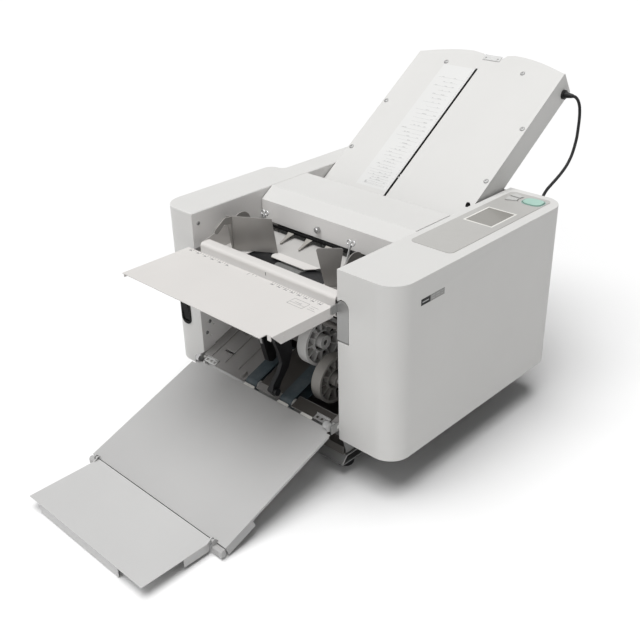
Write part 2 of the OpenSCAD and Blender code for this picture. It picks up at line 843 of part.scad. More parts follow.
module drive_motor() {
    color("dimgray") {
        x_rod(gap_r + 12, gap_r + 88, motor_at, 34);
        x_rod(gap_r + 88, gap_r + 92, motor_at, 12);
        box([gap_r + 6, motor_at[0] - 42, motor_at[1] - 42],
            [gap_r + 12, motor_at[0] + 42, motor_at[1] + 42]);
    }
    color("silver")
        for (dy = [-36, 36], dz = [-36, 36])
            x_rod(gap_r + plate_t, gap_r + 6, motor_at + [dy, dz], 4, $fn = fine);
}

// ---------- first fold plate ----------

// Outline of the upper sheet: two humps with a dip between them
function hump(x0, x1, low, high, n = 10) =
    [for (i = [0:n]) let (t = i / n) [x0 + (x1 - x0) * t, low + (high - low) * sin(90 * t)]];

module upper_plate_sheet() {
    dip_l = -36;
    dip_r = 15;
    outline = concat([[plate_r_x, plate_low], [plate_r_x, 307]],
        [for (i = [0:10]) let (t = i / 10)
            [plate_r_x + (30 - plate_r_x) * t, 307 + 24 * sin(90 * t)]],
        [[dip_r, 328], [dip_r - 6, 320], [dip_l + 8, 318], [dip_l, 325]],
        [for (i = [0:10]) let (t = i / 10)
            [-60 + (plate_l_x + 60) * t, 307 + 22 * cos(90 * t)]],
        [[plate_l_x, plate_low]]);
    color(cover_white) on_plate() {
        translate([0, 0, -sheet]) linear_extrude(sheet) difference() {
            polygon(outline);
            translate([slot_x - 2.5, slot_v[0]]) square([5, slot_v[1] - slot_v[0]]);
        }
        // small steel clip in the dip
        translate([-11, 318, 0]) difference() {
            translate([-20, -8, 0]) cube([38, 13, 1.2]);
            for (dx = [-14, 12])
                translate([dx, -4, -1]) cylinder(h = 4, r = 2, $fn = fine);
        }
    }
}

module lower_plate_sheet() {
    w = -sheet - channel;
    color(steel) on_plate() difference() {
        translate([plate_l_x + 2, plate_low, w - sheet])
            cube([plate_r_x - plate_l_x - 4, plate_top - 4 - plate_low, sheet]);
        translate([slot_x - 5, slot_v[0], w - sheet - 1])
            cube([10, slot_v[1] - slot_v[0], sheet + 2]);
    }
}

gland_at = [plate_r_x, 288, -32];

module fold_plate_pan() {
    floor_w = -plate_h;
    color(cover_white) on_plate() difference() {
        union() {
            difference() {
                translate([plate_l_x, plate_foot, floor_w])
                    cube([plate_r_x - plate_l_x, plate_top - plate_foot, plate_h - sheet]);
                translate([plate_l_x + sheet, plate_foot + sheet, floor_w + sheet])
                    cube([plate_r_x - plate_l_x - 2 * sheet, plate_top - plate_foot - 2 * sheet, plate_h]);
                // mouth for the paper channel
                translate([plate_l_x + sheet, plate_foot - 1, -sheet - channel - sheet - 0.1])
                    cube([plate_r_x - plate_l_x - 2 * sheet, sheet + 2, channel + sheet + 0.1]);
            }
            // edge channels that carry the sheets down to the rollers
            for (x = [plate_l_x, plate_r_x - 2])
                translate([x, plate_low, -sheet - channel - sheet])
                    cube([2, plate_foot - plate_low, channel + sheet]);
        }
        translate(gland_at + [-sheet - 1, 0, 0]) rotate([0, 90, 0]) cylinder(h = 4, r = 6);
    }
    // gland and tapered relief
    color(black) on_plate() translate(gland_at) rotate([0, 90, 0]) {
        translate([0, 0, -4]) cylinder(h = 4, r = 6);
        cylinder(h = 5, r = 8.5);
        translate([0, 0, 5]) cylinder(h = 15, r1 = 6, r2 = cable_d / 2 + 0.9);
    }
}

module paper_stop() {
    v = stop_v;
    w0 = -sheet - channel;
    color(steel) on_plate() {
        translate([plate_l_x + 25, v - 4, w0 + 0.5]) cube([plate_r_x - plate_l_x - 50, 8, channel - 1]);
        translate([slot_x - 3.5, v - 4, -20]) cube([7, 8, 20 + w0 + 0.6]);
        difference() {
            translate([slot_x - 10, v - 8, screw_w - 9]) cube([20, 16, 18]);
            translate([slot_x, v - 9, screw_w]) rotate([-90, 0, 0]) cylinder(h = 18, r = 4.06);
        }
    }
    color("orange") on_plate() translate([slot_x, v, -sheet - 0.6]) cylinder(h = 2.6, r = 1.9, $fn = fine);
}

module stop_drive() {
    color("silver") on_plate()
        translate([slot_x, plate_foot + sheet, screw_w]) rotate([-90, 0, 0]) cylinder(h = 292, r = 4);
    color("dimgray") on_plate() {
        translate([slot_x - 18, 270.5, -plate_h + sheet]) cube([36, 34, 33]);
        translate([slot_x - 12, plate_foot + sheet, -plate_h + sheet])
            difference() {
                cube([24, 6, 30]);
                translate([12, -1, plate_h - sheet + screw_w]) rotate([-90, 0, 0]) cylinder(h = 8, r = 4);
            }
    }
}

// A tube of regular cross-section swept along the cable's route
module plate_cable() {
    sides = 8;
    p = cable_route;
    n = len(p);
    function unit(v) = v / norm(v);
    dirs = [for (i = [0:n - 1]) unit(p[min(i + 1, n - 1)] - p[max(i - 1, 0)])];
    ring = [for (i = [0:n - 1]) let (d = dirs[i], side = unit(cross([0, 0, 1], d) + [0.001, 0, 0]),
            up = cross(d, side))
        [for (k = [0:sides - 1]) let (a = 360 * k / sides)
            p[i] + cable_d / 2 * (cos(a) * side + sin(a) * up)]];
    points = [for (r = ring) each r];
    faces = concat([[for (k = [0:sides - 1]) sides - 1 - k]],
        [for (i = [0:n - 2], k = [0:sides - 1]) let (a = i * sides + k, b = i * sides + (k + 1) % sides)
            [a, b, b + sides, a + sides]],
        [[for (k = [0:sides - 1]) (n - 1) * sides + k]]);
    color(black) polyhedron(points, faces, convexity = 6);
}

module cable_plug() {
    color(black) {
        translate([plug_at[0], rear_y - 10, plug_at[2]]) rotate([-90, 0, 0]) cylinder(h = 11, r = 6.5);
        translate([plug_at[0], rear_y + 1, plug_at[2]]) rotate([-90, 0, 0]) cylinder(h = 20, r = 9.5);
        translate([plug_at[0], rear_y + 15, plug_at[2]]) cylinder(h = 20, r1 = 5.9, r2 = cable_d / 2 + 0.7);
    }
}

// ---------- second fold plate ----------

module second_fold_plate() {
    inset = 17;
    color(steel) translate([0, plate2_at[0], plate2_at[1]]) rotate([-plate2_tilt, 0, 0]) {
        for (w = [0, -sheet - channel])
            translate([gap_l + inset, 0, w]) cube([gap_r - gap_l - 2 * inset, plate2_l, sheet]);
        for (x = [gap_l + inset, gap_r - inset - 2])
            translate([x, 0, -channel]) cube([2, plate2_l, channel]);
        translate([gap_l + inset + 2, 150, -channel])
            cube([gap_r - gap_l - 2 * inset - 4, 4, channel]);
        for (x = [gap_l + 0.2, gap_r - inset])
            translate([x, 90, -sheet - channel]) cube([inset - 0.2, 20, sheet]);
    }
}

// ---------- delivery ----------

chute_front = 3;
chute_w = -3.2;

module chute_plate() {
    rear = 190;
    hinge_v = 46;
    low_w = chute_w - sheet;
    right_bay = belt_xs[1] + belt_w / 2 + 2.5;
    color(dark_steel) on_delivery() difference() {
        union() {
            translate([gap_l, chute_front, low_w]) cube([gap_r - gap_l, rear - chute_front, sheet]);
            for (x = [gap_l, gap_r - sheet])
                translate([x, hinge_v, -20]) cube([sheet, rear - hinge_v, 20 + low_w + 0.5]);
            for (x = [gap_l + 20:36:belt_xs[0] - 30])
                translate([x, chute_front + 16, low_w]) cube([1.6, 158, 3.2]);
        }
        // corners beside the tray's hinges
        for (x = [gap_l - 1, gap_r - 2.3])
            translate([x, 0, low_w - 1]) cube([3.3, hinge_v, 6]);
        for (x = [gap_l - 1, gap_r - 11])
            translate([x, 0, low_w - 1]) cube([12, 14, 6]);
        for (x = belt_xs)
            translate([x - belt_w / 2 - 2.5, 0, -30]) cube([belt_w + 5, 122, 40]);
        // open bay for the lower wheel
        translate([right_bay - 1, 28, -30]) cube([gap_r - 12 - right_bay, 120, 40]);
        translate([gap_l - 1, rear_pulley[0], -belt_t - rear_pulley[1]]) rotate([0, 90, 0])
            cylinder(h = gap_r - gap_l + 2, r = bush_r + 0.6);
        for (v = [40, 90, 140])
            translate([gap_l + 34, v, low_w - 1]) cube([24, 4, 6]);
    }
    // oval rubber bumper
    color(black) on_delivery() translate([-70, 14, chute_w]) linear_extrude(6) round_outline([8, 14], 3.9);
}

module delivery_belts() {
    play = 0.35;
    front = [front_pulley[0], -belt_t - front_pulley[1]];
    rear = [rear_pulley[0], -belt_t - rear_pulley[1]];
    // the upper run lies along the slope and the lower one is its mirror image about the centres' line
    dip = 2 * atan2(rear[1] - front[1], rear[0] - front[0]);
    function loop(grow) = concat(arc(rear, rear_pulley[1] + play + grow, 90, dip - 90, 14),
        arc(front, front_pulley[1] + play + grow, dip + 270, 90, 14));
    color(belt_teal)
        for (x = belt_xs)
            on_delivery() translate([x - belt_w / 2, 0, 0]) rotate([90, 0, 90])
                linear_extrude(belt_w) difference() {
                    polygon(loop(belt_t));
                    polygon(loop(0));
                }
}

module pulley(x, at, r) {
    x_rod(x - belt_w / 2 - 1, x + belt_w / 2 + 1, at, r);
}

module front_belt_shaft() {
    at = belt_centre(front_pulley);
    color("silver") x_rod(gap_l + 0.3, gap_r - 0.3, at, 4);
    color(white_plastic)
        for (x = belt_xs)
            pulley(x, at, front_pulley[1]);
}

lower_wheel_x = 57;
wheel_w = 20;

// A moulded wheel with a rim, a thin web, radial ribs and a raised hub
module spoked_wheel(x, at, bore) {
    ribs = 12;
    difference() {
        union() {
            x_tube(x, x + wheel_w, at, wheel_r, wheel_r - 5);
            x_rod(x + 3, x + 6, at, wheel_r - 3);
            x_tube(x + 3, x + wheel_w - 3, at, 20, 17.5);
            x_rod(x + 1, x + wheel_w + 5, at, 12);
            for (i = [0:ribs - 1])
                translate([x + 5, at[0], at[1]]) rotate([i * 360 / ribs, 0, 0])
                    translate([0, 18, -1]) cube([wheel_w - 9, wheel_r - 21, 2]);
        }
        x_rod(x - 1, x + wheel_w + 7, at, bore);
    }
}

module rear_belt_shaft() {
    at = belt_centre(rear_pulley);
    color("silver") x_rod(gap_l - 6, gap_r + 14, at, shaft_r);
    color(white_plastic) {
        for (x = belt_xs)
            pulley(x, at, rear_pulley[1]);
        spoked_wheel(lower_wheel_x, at, shaft_r);
    }
}

wheel_x = 30;

module wheel_arm() {
    outline = concat(arc(wheel_at, 9, 150, 330), arc(wheel_arm_shaft, 10, -40, 140));
    color(dark_steel) {
        difference() {
            along_x(25.4, 28.4) polygon(outline);
            x_rod(20, 32, wheel_arm_shaft, 5.05);
        }
        x_tube(15, 25.4, wheel_arm_shaft, 9, 5.05);
        x_rod(28.4, 30 + wheel_w + 3, wheel_at, 4.95);
    }
}

module press_wheel() {
    color(white_plastic) spoked_wheel(wheel_x, wheel_at, 5);
}

module press_arms() {
    hook = [[-110, 262], [-104, 271], [-94, 270], [-90, 262], [-101, 222], [-100, 178], [-110, 152],
        [-126, 134], [-137, 114], [-146, 112], [-150, 120], [-146, 134], [-132, 150], [-124, 166],
        [-130, 190], [-138, 212], [-128, 236]];
    strap = [[-110, 262], [-105, 271], [-94, 270], [-90, 262], [-92, 200], [-80, 150], [-80, 134],
        [-88, 130], [-97, 133], [-104, 160], [-114, 205]];
    color(black) difference() {
        union() {
            along_x(15, 23) polygon(hook);
            along_x(-51, -39) polygon(strap);
            x_rod(-51, 23, arm_shaft, 8);
        }
        x_rod(-60, 30, arm_shaft, 5.05);
    }
    // light rollers that touch the paper
    color(white_plastic) {
        x_rod(9.5, 14.9, [-142, 119.5], 6.5);
        x_rod(23.1, 28.6, [-142, 119.5], 6.5);
    }
}

module tray_hinges() {
    color(steel) {
        difference() {
            for (x = [gap_l, gap_r - 2])
                along_x(x, x + 2)
                    polygon([[-145, 94], [-145, 107], [-142, 110], [-104, 110], [-104, 94]]);
            x_rod(gap_l - 1, gap_r + 1, belt_centre(front_pulley), 4.05);
        }
        // slotted brackets on the chute's front edge
        on_delivery()
            for (x = [gap_l + 15, gap_r - 45])
                difference() {
                    union() {
                        translate([x, chute_front, chute_w]) cube([30, 12, 1.2]);
                        translate([x, chute_front + 10.8, chute_w]) cube([30, 1.2, 3.6]);
                    }
                    for (dx = [3, 13, 22])
                        translate([x + dx, chute_front + 3, chute_w - 1]) cube([5, 4.5, 4]);
                }
        x_rod(gap_l + 2, gap_l + 9, tray_pin, 3);
        x_rod(gap_r - 9, gap_r - 2, tray_pin, 3);
        // sill between the frames
        box([gap_l, -122, 78], [gap_r, -120, 88]);
    }
}

module delivery_tray() {
    side_h = 4;
    foot_v = 58;
    foot_h = 17;
    block = [[-388, 5], [-388, 14], [-385.5, 17.2], [-380.3, 17.2], [-380.3, 5]];
    knuckle = concat([[-376, 8]], [[-386, 8]], arc(ext_pin, 4, 200, 20, 8), [[-376, 20]]);
    screw_at = [-146, 110];
    ear = concat([[-151, 101.4]], arc(tray_pin, 6, 200, 405, 12), arc(screw_at, 5, 45, 180));
    color(tray_grey) {
        on_delivery() {
            difference() {
                translate([tray_l_x, -tray_l, -sheet]) cube([tray_r_x - tray_l_x, tray_l - 3, sheet]);
                for (x = [tray_l_x - 1, gap_r - 2.6])
                    translate([x, -11, -sheet - 1]) cube([tray_r_x - gap_r + 4, 12, sheet + 2]);
            }
            for (x = [tray_l_x, tray_r_x - sheet]) {
                translate([x, -tray_l, -side_h]) cube([sheet, tray_l - 14, side_h - sheet]);
                translate([x, -tray_l, -foot_h]) cube([sheet, foot_v, foot_h - sheet]);
            }
            translate([tray_l_x, -tray_l, -7]) cube([tray_r_x - tray_l_x, sheet, 7 - sheet]);
        }
        difference() {
            for (x = [gap_l + 3, gap_r - 5])
                along_x(x, x + 2) polygon(ear);
            x_rod(gap_l, gap_r, tray_pin, 3.06);
        }
        // corner blocks and knuckles that carry the extension's pins
        for (x = [[tray_l_x, ext_l_x - 4], [ext_r_x + 4, tray_r_x]])
            along_x(x[0], x[1]) polygon(block);
        for (x = [ext_l_x - 6, ext_r_x + 4])
            along_x(x, x + 2) polygon(knuckle);
        x_rod(ext_l_x - 4, ext_l_x - 0.2, ext_pin, 2, $fn = fine);
        x_rod(ext_r_x + 0.2, ext_r_x + 4, ext_pin, 2, $fn = fine);
    }
    // knurled thumb screws beside the hinge
    color("silver")
        for (x = [gap_l + 5, gap_r - 13])
            translate([x, screw_at[0], screw_at[1]]) rotate([0, 90, 0]) knurled(6, 8);
}

module tray_extension() {
    skirt_z = 1;
    t = 1.2;
    rear = ext_pin[0] + 1.5;
    ear = concat([[ext_pin[0] - 12, ext_z - t]], arc(ext_pin, 3.8, 150, 0, 8), [[rear, ext_z - t]]);
    color([0.78, 0.77, 0.76]) {
        box([ext_l_x, ext_front, ext_z - t], [ext_r_x, rear, ext_z]);
        box([-135, ext_front + 1, skirt_z], [74, ext_front + 1 + t, ext_z - t]);
        for (x = [ext_l_x, ext_r_x - t])
            box([x, -437, 6], [x + t, rear - 8, ext_z - t]);
        difference() {
            for (x = [ext_l_x - 0.2, ext_r_x - 1.8])
                along_x(x, x + 2) polygon(ear);
            x_rod(ext_l_x - 5, ext_r_x + 5, ext_pin, 2.06, $fn = fine);
        }
    }
}

base_pan();
left_frame();
right_frame();
cross_bars();
bearings();
left_cover();
right_cover();
top_cover();
rear_cover();
foot_brackets();
rubber_feet();
casing_screws();
control_panel();
display_glass();
start_button();
stop_button();
clear_button();
name_plate();
switch_bezel();
power_rocker();
power_inlet();
table_hinges();
feed_table();
feed_lip();
feed_deck();
roller_guards();
throat_plate();
feed_roller();
feed_shaft();
separator_knob();
paper_fingers();
guide_rail();
left_guide();
right_guide();
left_clamp_screw();
right_clamp_screw();
fold_roller_a();
fold_roller_b();
fold_roller_c();
fold_roller_d();
drive_motor();
fold_plate_pan();
upper_plate_sheet();
lower_plate_sheet();
paper_stop();
stop_drive();
plate_cable();
cable_plug();
second_fold_plate();
control_board();
chute_plate();
delivery_belts();
front_belt_shaft();
rear_belt_shaft();
wheel_arm();
press_wheel();
press_arms();
tray_hinges();
delivery_tray();
tray_extension();
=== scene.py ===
"""Looks of the desktop paper folding machine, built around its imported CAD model.

Metres, +Z up, the machine's front towards -Y. Numbers in millimetres are multiplied by MM, or
are said to be in mm where they are used.
"""

import json
import math
import random

import bmesh
import bpy
from mathutils import Matrix, Vector


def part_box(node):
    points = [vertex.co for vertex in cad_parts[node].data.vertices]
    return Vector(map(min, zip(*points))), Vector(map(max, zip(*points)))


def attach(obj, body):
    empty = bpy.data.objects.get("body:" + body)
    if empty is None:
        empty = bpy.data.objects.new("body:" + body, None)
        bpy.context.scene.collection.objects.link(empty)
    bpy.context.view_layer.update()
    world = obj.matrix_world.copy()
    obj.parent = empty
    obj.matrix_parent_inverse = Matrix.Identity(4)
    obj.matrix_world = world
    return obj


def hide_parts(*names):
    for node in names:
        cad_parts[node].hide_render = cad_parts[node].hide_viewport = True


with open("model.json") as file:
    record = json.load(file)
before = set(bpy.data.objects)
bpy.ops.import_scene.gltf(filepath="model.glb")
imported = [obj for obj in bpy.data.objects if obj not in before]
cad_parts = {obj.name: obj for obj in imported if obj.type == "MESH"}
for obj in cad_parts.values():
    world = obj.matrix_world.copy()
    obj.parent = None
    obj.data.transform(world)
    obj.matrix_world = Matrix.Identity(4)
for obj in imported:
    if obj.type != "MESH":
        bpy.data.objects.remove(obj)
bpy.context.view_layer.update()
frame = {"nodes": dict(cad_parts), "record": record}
nodes = frame["nodes"]
body_of_node = {n: b for b, ns in frame["record"]["behaviour"]["bodies"].items() for n in ns}
slot_of_node = {p["node"]: p["material_slot"] for p in frame["record"]["subparts"]}
scene = bpy.context.scene
random.seed(7)

MM = 0.001


# ---------- camera ----------

CAMERA_AT = Vector((0.959, -0.990, 0.929))
AZIMUTH, ELEVATION, ROLL = (math.radians(a) for a in (44.34, 28.21, -1.38))
LENS = 50.3
SENSOR = 36
CLIP = (0.05, 50)


def direction(azimuth, elevation):
    """The unit vector to a compass direction: azimuth 0 is the front, 90 the machine's right."""
    return Vector((math.sin(azimuth) * math.cos(elevation),
                   -math.cos(azimuth) * math.cos(elevation), math.sin(elevation)))


def add_camera():
    back = direction(AZIMUTH, ELEVATION)
    right = Vector((math.cos(AZIMUTH), math.sin(AZIMUTH), 0))
    up = back.cross(right)
    c, s = math.cos(ROLL), math.sin(ROLL)
    x_axis, y_axis = c * right + s * up, c * up - s * right
    data = bpy.data.cameras.new("camera")
    data.lens = LENS
    data.sensor_width = SENSOR
    data.clip_start, data.clip_end = CLIP
    camera = bpy.data.objects.new("camera", data)
    camera.matrix_world = Matrix((
        (x_axis.x, y_axis.x, back.x, CAMERA_AT.x),
        (x_axis.y, y_axis.y, back.y, CAMERA_AT.y),
        (x_axis.z, y_axis.z, back.z, CAMERA_AT.z),
        (0, 0, 0, 1)))
    scene.collection.objects.link(camera)
    scene.camera = camera


add_camera()


# ---------- cable ----------

CABLE_D = 5.5 * MM
# from the gland on the fold plate's right side to the plug at the back, in mm as in the CAD model
CABLE_ROUTE = [(168, 487, 512), (173, 487, 511), (178, 488, 506), (181, 490, 497), (182, 492, 486),
               (183, 492, 473), (184, 490, 458), (186, 485, 441), (188, 476, 424), (190, 464, 409),
               (192, 447, 397), (194, 428, 389), (196, 408, 383), (198, 388, 378), (199, 371, 372),
               (200, 357, 362), (200, 347, 348), (200, 343, 332), (200, 342, 318), (200, 342, 310)]


def add_cable():
    """One smooth curve through the route; each point's radius is the cable's own."""
    points = [Vector(p) * MM for p in CABLE_ROUTE]
    curve = bpy.data.curves.new("cable", "CURVE")
    curve.dimensions = "3D"
    curve.bevel_depth = 1
    curve.bevel_resolution = 5
    curve.resolution_u = 6
    spline = curve.splines.new("BEZIER")
    spline.bezier_points.add(len(points) - 1)
    for k, (bezier, p) in enumerate(zip(spline.bezier_points, points)):
        before = points[max(k - 1, 0)]
        after = points[min(k + 1, len(points) - 1)]
        bezier.co = p
        bezier.radius = CABLE_D / 2
        bezier.handle_left_type = bezier.handle_right_type = "FREE"
        along = (after - before).normalized()
        bezier.handle_left = p - along * (p - before).length / 3
        bezier.handle_right = p + along * (after - p).length / 3
    curve.use_fill_caps = True
    cable = bpy.data.objects.new("cable", curve)
    scene.collection.objects.link(cable)
    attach(cable, "machine")
    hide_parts("plate_cable")
    return cable


cable = add_cable()


# ---------- materials ----------

class Graph:
    """A material's node tree with short calls for the nodes used here."""

    def __init__(self, name):
        self.material = bpy.data.materials.new(name)
        self.material.use_nodes = True
        self.tree = self.material.node_tree
        self.tree.nodes.clear()
        self.shader = self.add("ShaderNodeBsdfPrincipled")
        output = self.add("ShaderNodeOutputMaterial")
        self.join(self.shader.outputs[0], output.inputs[0])
        self.place = self.add("ShaderNodeTexCoord").outputs["Object"]

    def add(self, kind, **values):
        node = self.tree.nodes.new(kind)
        for key, value in values.items():
            setattr(node, key, value)
        return node

    def join(self, source, target):
        self.tree.links.new(source, target)

    def feed(self, **sources):
        """Joins node outputs to the shader's own inputs, named as in base_color."""
        for key, source in sources.items():
            self.join(source, self.shader.inputs[key.replace("_", " ").title()])

    def set(self, **values):
        """Sets constants on the shader's own inputs, named as in specular_ior_level."""
        for key, value in values.items():
            socket = key.replace("_", " ").title().replace("Ior", "IOR")
            self.shader.inputs[socket].default_value = value

    def stretched(self, scale):
        node = self.add("ShaderNodeMapping")
        node.inputs["Scale"].default_value = scale
        self.join(self.place, node.inputs["Vector"])
        return node.outputs[0]

    def noise(self, scale, detail=3.0, roughness=0.55, place=None):
        node = self.add("ShaderNodeTexNoise")
        node.inputs["Scale"].default_value = scale
        node.inputs["Detail"].default_value = detail
        node.inputs["Roughness"].default_value = roughness
        self.join(place or self.place, node.inputs["Vector"])
        return node.outputs["Fac"]

    def ramp(self, factor, low, high):
        """Runs from one (position, colour) stop to another."""
        node = self.add("ShaderNodeValToRGB")
        for element, (position, colour) in zip(node.color_ramp.elements, (low, high)):
            element.position = position
            element.color = (*colour, 1)
        self.join(factor, node.inputs["Fac"])
        return node.outputs["Color"]

    def span(self, factor, low, high):
        """Spreads the middle of a noise, where most of it lies, over low to high."""
        node = self.add("ShaderNodeMapRange")
        ends = {"From Min": 0.3, "From Max": 0.7, "To Min": low, "To Max": high}
        for key, value in ends.items():
            node.inputs[key].default_value = value
        self.join(factor, node.inputs["Value"])
        return node.outputs["Result"]

    def multiply(self, factor, a, b):
        node = self.add("ShaderNodeMix", data_type="RGBA", blend_type="MULTIPLY")
        node.inputs["Factor"].default_value = factor
        self.join(a, node.inputs[6])
        self.join(b, node.inputs[7])
        return node.outputs[2]

    def bump(self, height, strength, distance):
        node = self.add("ShaderNodeBump")
        node.inputs["Strength"].default_value = strength
        node.inputs["Distance"].default_value = distance
        self.join(height, node.inputs["Height"])
        return node.outputs["Normal"]


TONE = 0.885


def shade(colour, factor):
    """A colour scaled to the strength of this scene's lights."""
    return tuple(min(1.0, c * factor * TONE) for c in colour)


def painted(name, colour, roughness=0.42, peel=0.05, soil=0.03, gloss=0.35):
    """Powder coat: a fine orange peel and faint wide clouding."""
    g = Graph(name)
    g.feed(base_color=g.ramp(g.noise(5, 4), (0.32, shade(colour, 1 - soil)),
                             (0.62, shade(colour, 1.01))),
           roughness=g.span(g.noise(26, 5), roughness - 0.03, roughness + 0.05),
           normal=g.bump(g.noise(900, 2), peel, 0.0002))
    g.set(specular_ior_level=gloss)
    return g.material


def brushed(name, colour, roughness=0.32, metallic=0.9, contrast=0.06):
    """Plated or brushed sheet with its grain along X, in faint patches."""
    g = Graph(name)
    grain = g.noise(1, 4, 0.6, g.stretched((6, 500, 500)))
    base = g.ramp(grain, (0.25, shade(colour, 1 - contrast)), (0.75, shade(colour, 1 + contrast)))
    patches = g.ramp(g.noise(14, 4), (0.3, (0.92, 0.92, 0.92)), (0.7, (1, 1, 1)))
    g.feed(base_color=g.multiply(0.8, base, patches),
           roughness=g.span(grain, roughness - 0.03, roughness + 0.07),
           normal=g.bump(grain, 0.06, 0.0001))
    g.set(metallic=metallic)
    return g.material


def moulded(name, colour, roughness=0.45, grain=0.08, scale=1600, mottle=0.03, gloss=0.4):
    """Moulded plastic with a fine spark-eroded grain."""
    g = Graph(name)
    g.feed(base_color=g.ramp(g.noise(12, 3), (0.3, shade(colour, 1 - mottle)),
                             (0.7, shade(colour, 1 + mottle))),
           roughness=g.span(g.noise(60, 4), roughness - 0.06, roughness + 0.08),
           normal=g.bump(g.noise(scale, 2), grain, 0.0001))
    g.set(specular_ior_level=gloss)
    return g.material


def rubbery(name, colour, roughness=0.7, scale=900, dusting=0.06, gloss=0.5):
    """Matt rubber with dust in its grain."""
    g = Graph(name)
    dusty = tuple(c * 0.7 + dusting for c in colour)
    g.feed(base_color=g.ramp(g.noise(45, 6, 0.65), (0.35, colour), (0.8, dusty)),
           roughness=g.span(g.noise(120, 3), roughness - 0.08, roughness + 0.1),
           normal=g.bump(g.noise(scale, 3), 0.25, 0.0004))
    g.set(specular_ior_level=gloss)
    return g.material


def board():
    """Green solder mask with copper traces under it."""
    g = Graph("circuit")
    traces = g.add("ShaderNodeTexBrick")
    traces.inputs["Scale"].default_value = 140
    traces.inputs["Mortar Size"].default_value = 0.04
    for key, colour in (("Color1", (0.02, 0.16, 0.08)), ("Color2", (0.03, 0.20, 0.10)),
                        ("Mortar", (0.08, 0.34, 0.18))):
        traces.inputs[key].default_value = (*colour, 1)
    g.join(g.place, traces.inputs["Vector"])
    g.feed(base_color=traces.outputs["Color"])
    g.set(roughness=0.35)
    return g.material


def satin(name, colour, roughness=0.36, painted_sheen=0.22):
    """Satin sheet whose shine drifts in broad patches; its colour goes lighter and darker in the
    same patches as painted reflection.
    """
    g = Graph(name)
    broad = g.noise(11, 2, 0.4)
    g.feed(base_color=g.ramp(broad, (0.35, shade(colour, 1 - painted_sheen)),
                             (0.65, shade(colour, 1 + painted_sheen))),
           roughness=g.span(broad, roughness + 0.06, roughness - 0.05),
           normal=g.bump(g.noise(1500, 2), 0.03, 0.0001))
    g.set(metallic=0.35)
    return g.material


# the record's material slots
MATERIALS = {
    "cover_white": painted("cover_white", (0.70, 0.695, 0.68), 0.46, 0.03, 0.015, 0.20),
    "inner_white": painted("inner_white", (0.70, 0.68, 0.66), 0.48, 0.03, 0.02, 0.20),
    # tray_grey and tray_light are one grey paint; tray_light, on the level extension, is painted
    # lighter as painted light
    "tray_grey": painted("tray_grey", (0.455, 0.452, 0.448), 0.42, 0.03, 0.03),
    "tray_light": painted("tray_light", (0.57, 0.568, 0.563), 0.42, 0.03, 0.02),
    "plated_steel": brushed("plated_steel", (0.43, 0.43, 0.425), 0.40),
    "bright_steel": brushed("bright_steel", (0.52, 0.52, 0.52), 0.36, 1.0, 0.03),
    "dark_steel": painted("dark_steel", (0.115, 0.108, 0.10), 0.50, 0.05, 0.10),
    # the wings' satin grey, with painted reflection in its colour
    "guide_grey": satin("guide_grey", (0.245, 0.236, 0.225), 0.36, 0.30),
    "black_plastic": moulded("black_plastic", (0.013, 0.013, 0.014), 0.40, gloss=0.2),
    "white_plastic": moulded("white_plastic", (0.72, 0.715, 0.70), 0.38, 0.05),
    "black_rubber": rubbery("black_rubber", (0.010, 0.010, 0.011), dusting=0.012, gloss=0.25),
    "belt_rubber": rubbery("belt_rubber", (0.022, 0.040, 0.050), 0.6),
    "roller_rubber": rubbery("roller_rubber", (0.17, 0.17, 0.165), 0.6, 1500),
    "panel_film": moulded("panel_film", (0.475, 0.468, 0.45), 0.34, 0.0, 2400, 0.01),
    "screen": moulded("screen", (0.285, 0.277, 0.255), 0.16, 0.0, 2400, 0.01),
    "mint_plastic": moulded("mint_plastic", (0.37, 0.58, 0.50), 0.38, 0.03),
    "circuit": board(),
    "bronze": brushed("bronze", (0.60, 0.40, 0.20), 0.35),
}
# finishes of single faces, marks and trim
FINISHES = {
    "label_grey": moulded("label_grey", (0.33, 0.33, 0.32), 0.40, 0.02, 2400, 0.02, 0.2),
    "key_grey": moulded("key_grey", (0.55, 0.55, 0.535), 0.42, 0.02, 2400, 0.01),
    "screw_grey": brushed("screw_grey", (0.34, 0.34, 0.335), 0.42, 1.0, 0.03),
    "chute_grey": painted("chute_grey", (0.27, 0.262, 0.255), 0.42, 0.04, 0.06),
    # the throat plate's white, painted darker on its ramp as painted shade
    "painted_throat_shade": painted("painted_throat_shade", (0.50, 0.49, 0.475), 0.42, 0.03, 0.03),
    "web_brown": moulded("web_brown", (0.075, 0.068, 0.06), 0.5, 0.05),
    "wheel_grey": moulded("wheel_grey", (0.40, 0.385, 0.36), 0.45, 0.05),
    # near-black, for painted shade on the chute under the machine
    "painted_chute_shade": painted("painted_chute_shade", (0.055, 0.05, 0.045), 0.45, 0.04, 0.1),
    # the covers' white painted lighter, as painted light on faces that lie in shade
    "white_painted_light": painted("white_painted_light", (0.90, 0.885, 0.87), 0.42, 0.03, 0.02, 0.3),
    "ring_mint": moulded("ring_mint", (0.24, 0.40, 0.35), 0.42, 0.03),
    "rim_cream": moulded("rim_cream", (0.82, 0.81, 0.77), 0.4, 0.02),
    "scale_film": moulded("scale_film", (0.725, 0.725, 0.715), 0.35, 0.0, 2400, 0.01),
    "tag_grey": moulded("tag_grey", (0.46, 0.46, 0.455), 0.45, 0.04),
    "ink_grey": moulded("ink_grey", (0.15, 0.15, 0.155), 0.5, 0.02),
    "ink_pale": moulded("ink_pale", (0.44, 0.44, 0.44), 0.5, 0.02),
    "finger_tan": moulded("finger_tan", (0.33, 0.315, 0.29), 0.45, 0.05),
    # gloss black parts; also painted shade on the pan's floor seen through the fold plate's slot
    "gloss_black": moulded("gloss_black", (0.005, 0.005, 0.005), 0.30, 0.02, gloss=0.06),
}


